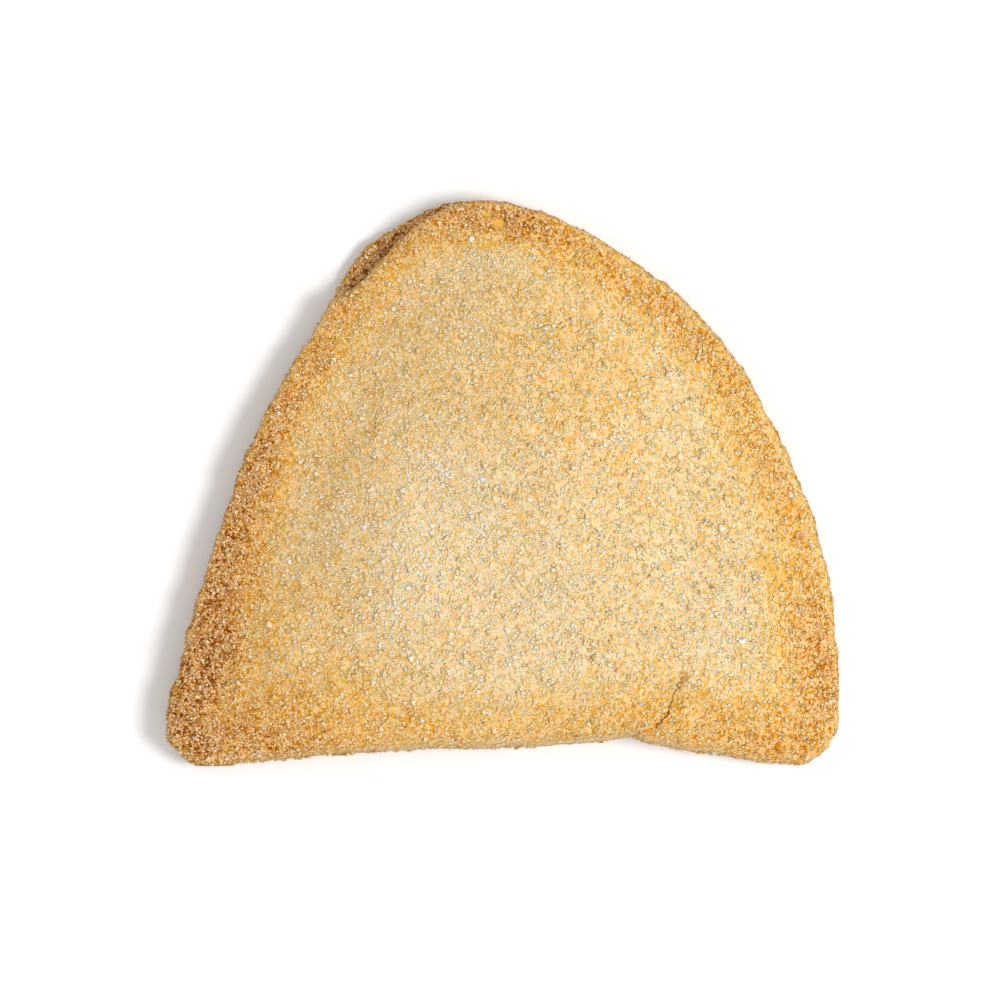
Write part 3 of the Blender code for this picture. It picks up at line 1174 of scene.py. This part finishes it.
    def grain_shape(self, blocky: bool) -> tuple[Array, Array]:
        """One sugar crystal.

        Args:
            blocky: whether it is a broken-off wedge, rather than a chip with a point at each end.

        Returns:
            Its six corners, around one unit apart, and the corners of its eight faces.
        """
        shape = bmesh.new()
        if blocky:
            ends = {"radius1": self.chip, "radius2": self.chip, "cap_ends": True}
            bmesh.ops.create_cone(shape, segments=3, depth=self.wedge, **ends)
        else:
            bmesh.ops.create_uvsphere(shape, u_segments=4, v_segments=2, radius=self.chip)
        bmesh.ops.triangulate(shape, faces=shape.faces)
        shape.verts.ensure_lookup_table()
        corners = np.array([vert.co for vert in shape.verts])
        faces = np.array([[vert.index for vert in face.verts] for face in shape.faces])
        shape.free()
        return corners, faces

    def unmelted(self, sites: Sites) -> Array:
        """How much of its height a grain keeps at each site: less on the right, where more of it melted."""
        along = (sites.places[:, 0] - self.melted_from) / (self.melted_to - self.melted_from)
        return 1.0 - self.melted_lower * easing(along)

    def shaped(self, sites: Sites, corners: Array) -> tuple[Array, Array]:
        """Makes crystals of uneven form.

        Args:
            sites: where they will go.
            corners: the plain crystal's corners.

        Returns:
            The corners of a crystal for each site, round its own middle, and each crystal's size.
        """
        amount = len(sites.places)
        size = np.exp(self.random.normal(math.log(self.grain), self.grain_spread, amount))
        size = np.clip(size, self.smallest, self.largest) * np.where(sites.large, self.large, 1.0)
        shares = self.random.uniform(self.slimmest, self.widest, (amount, 1, 3))
        shares *= np.array([1.0, 1.0, self.flatness])
        shares[:, 0, 2] *= self.unmelted(sites)
        skewed = self.random.uniform(-self.skew, self.skew, (amount, len(corners), 3))
        return (corners[None] * shares + skewed) * size[:, None, None], size

    def turned(self, sites: Sites) -> Array:
        """Turns each crystal at random and leans it away from the crust's normal.

        Args:
            sites: where the crystals go.

        Returns:
            The three axes of each crystal.
        """
        amount = len(sites.places)
        up = sites.normals + self.random.normal(0, self.tilt, (amount, 3)) * self.unmelted(sites)[:, None]
        up /= np.linalg.norm(up, axis=1)[:, None]
        spin = self.random.normal(0, 1, (amount, 3))
        along = np.cross(up, spin)
        along /= np.linalg.norm(along, axis=1)[:, None]
        return np.stack([along, np.cross(up, along), up], axis=1)

    def sunk_at(self, sites: Sites) -> Array:
        """How deep each crystal sinks into the crust, as a share of its size.

        Args:
            sites: where the crystals go.

        Returns:
            The share at each site.
        """
        sunk = self.random.normal(self.sunk, self.sunk_spread, len(sites.places))
        sunk = sunk + self.sunk_on_sides * sites.steep
        clumped = sum(wave.at(sites.places) for wave in self.clumps)
        sunk += clumped * (self.clumping + self.clumping_when_brown * sites.browned)
        return np.where(sites.large, self.large_sunk * sunk, sunk)

    def grown(self, sites: Sites, corners: Array) -> tuple[Array, Array]:
        """Lays a crystal at each site.

        Args:
            sites: where they go.
            corners: the crystal's corners.

        Returns:
            The corners of each crystal, and how far each corner rises from the crust, from 0 to 1.
        """
        shapes, size = self.shaped(sites, corners)
        laid = np.einsum("nij,njk->nik", shapes, self.turned(sites))
        lift = size * (0.5 * self.slimmest - self.sunk_at(sites))
        laid += (sites.normals * lift[:, None])[:, None]
        rise = np.einsum("nij,nj->ni", laid, sites.normals)
        top = np.maximum(rise.max(1, keepdims=True), NEAR_ZERO)
        shown = np.clip(rise / (self.flank * top), 0.0, 1.0) * np.clip(top / self.full_rise, 0.0, 1.0)
        return laid + sites.places[:, None], shown

    @staticmethod
    def joined(name: str, laid: Array, faces: Array) -> bpy.types.Mesh:
        """Joins crystals into one mesh.

        Args:
            name: the mesh's name.
            laid: the corners of each crystal, in millimetres.
            faces: the corners of a crystal's faces.

        Returns:
            The mesh, with a small square of its map for each crystal.
        """
        amount, size = laid.shape[:2]
        sides = faces.shape[1]
        all_faces = (faces[None] + (np.arange(amount) * size)[:, None, None]).reshape(-1, sides)
        flat = boxed(laid.reshape(-1, 3)) * MM
        mesh = bpy.data.meshes.new(name)
        mesh.vertices.add(len(flat))
        mesh.vertices.foreach_set("co", flat.astype(np.float32).ravel())
        mesh.loops.add(all_faces.size)
        mesh.loops.foreach_set("vertex_index", all_faces.astype(np.int32).ravel())
        mesh.polygons.add(len(all_faces))
        mesh.polygons.foreach_set("loop_start", np.arange(0, all_faces.size, sides, dtype=np.int32))
        mesh.update(calc_edges=True)
        columns = math.ceil(math.sqrt(amount))
        cell = np.stack([np.arange(amount) % columns, np.arange(amount) // columns], axis=1)
        square = np.array([(0.1, 0.1), (0.9, 0.1), (0.1, 0.9)])
        places = np.broadcast_to((cell[:, None, None] + square[None, None]), (amount, len(faces), sides, 2))
        chart = mesh.uv_layers.new(name="OFBake")
        chart.data.foreach_set("uv", (places / columns).astype(np.float32).ravel())
        return mesh

    def build(self, crust: bpy.types.Object) -> list[bpy.types.Object]:
        """Builds and dresses the coating.

        Args:
            crust: the finished crust.

        Returns:
            One object for each kind of grain.
        """
        sites = self.settled(self.sampled(crust.data))
        kinds = self.kinds_of(sites)
        pieces = []
        for number, kind in enumerate(SugarKind):
            mine = sites.only(np.flatnonzero(kinds == number)[: self.most])
            corners, faces = self.grain_shape(number % 2 == 0)
            laid, rise = self.grown(mine, corners)
            mesh = self.joined(kind.value.name, laid, faces)
            # Painted glints: large grains get a tint above any other grain's, so they show paler, partly as
            # paler crystals and partly as sparkle.
            tint = np.where(mine.large, self.large_glint_tint, self.random.random(len(laid)) ** self.tint_power)
            each = {"browned": mine.browned, "steep": mine.steep, "bare": mine.bare, "tint": tint}
            write_numbers(mesh, {name: np.repeat(values, len(corners)) for name, values in each.items()})
            write_numbers(mesh, {"rise": rise.ravel()})
            piece = dressed(kind.value.name, mesh, kind.value.material())
            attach(piece, BODY)
            pieces.append(piece)
        return pieces


@dataclass
class Studio:
    """The floor, the lights and the camera. Sizes in millimetres."""

    floor_size: float = 3000.0
    floor_cells: int = 8
    light_turn: float = -10.0
    light_height: float = 54.0
    light_away: float = 1000.0
    light_size: float = 380.0
    light_power: float = 6.2
    sky: float = 0.74
    lens: float = 250.0
    sensor: float = 36.0
    view_width: float = 155.8
    aim: tuple[float, float, float] = (-0.39, -2.57, 5.0)
    finish: FloorFinish = FloorFinish()

    def floor(self) -> None:
        """Lays the floor."""
        shape = bmesh.new()
        cells = {"x_segments": self.floor_cells, "y_segments": self.floor_cells}
        bmesh.ops.create_grid(shape, size=self.floor_size / 2 * MM, **cells)
        lowest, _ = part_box(NODE)
        bmesh.ops.translate(shape, verts=shape.verts, vec=(0, 0, lowest.z))
        mesh = bpy.data.meshes.new("floor")
        shape.to_mesh(mesh)
        shape.free()
        dressed("floor", mesh, self.finish.material())

    def lights(self) -> None:
        """Hangs one large soft light on the right and fills the rest with even light."""
        lamp = bpy.data.lights.new("softbox", "AREA")
        lamp.shape = "DISK"
        lamp.size = self.light_size * MM
        lamp.energy = self.light_power
        turn, height = math.radians(self.light_turn), math.radians(self.light_height)
        level = math.cos(height)
        way = Vector((math.cos(turn) * level, math.sin(turn) * level, math.sin(height)))
        holder = bpy.data.objects.new("softbox", lamp)
        holder.location = way * self.light_away * MM
        holder.rotation_euler = way.to_track_quat("Z", "Y").to_euler()
        bpy.context.collection.objects.link(holder)
        world = bpy.data.worlds.new("studio")
        world.use_nodes = True
        background = world.node_tree.nodes["Background"]
        background.inputs["Color"].default_value = WHITE
        background.inputs["Strength"].default_value = self.sky
        bpy.context.scene.world = world
        bpy.context.scene.view_settings.view_transform = "Standard"

    def camera(self) -> None:
        """Puts the camera straight above the pastry."""
        lowest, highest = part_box(NODE)
        centre = (lowest + highest) / 2
        aim = Vector((centre.x, centre.y, lowest.z)) + Vector(self.aim) * MM
        lens = bpy.data.cameras.new("camera")
        lens.lens = self.lens
        lens.sensor_width = self.sensor
        lens.clip_end = FARTHEST
        camera = bpy.data.objects.new("camera", lens)
        away = self.view_width * MM * self.lens / self.sensor
        camera.location = aim + Vector((0, 0, away))
        bpy.context.collection.objects.link(camera)
        bpy.context.scene.camera = camera

    def build(self) -> None:
        """Sets the whole studio up."""
        self.floor()
        self.lights()
        self.camera()


def main() -> None:
    """Builds the studio, the crust and its sugar, and logs how many faces each piece has."""
    logging.basicConfig(level=logging.INFO, format="%(name)s: %(message)s")
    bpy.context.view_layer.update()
    Studio().build()
    crust = Crust().build(Baking())
    LOG.info("%s: %d faces", crust.name, len(crust.data.polygons))
    for piece in SugarCoat().build(crust):
        LOG.info("%s: %d faces", piece.name, len(piece.data.polygons))


if __name__ == "__main__":
    main()
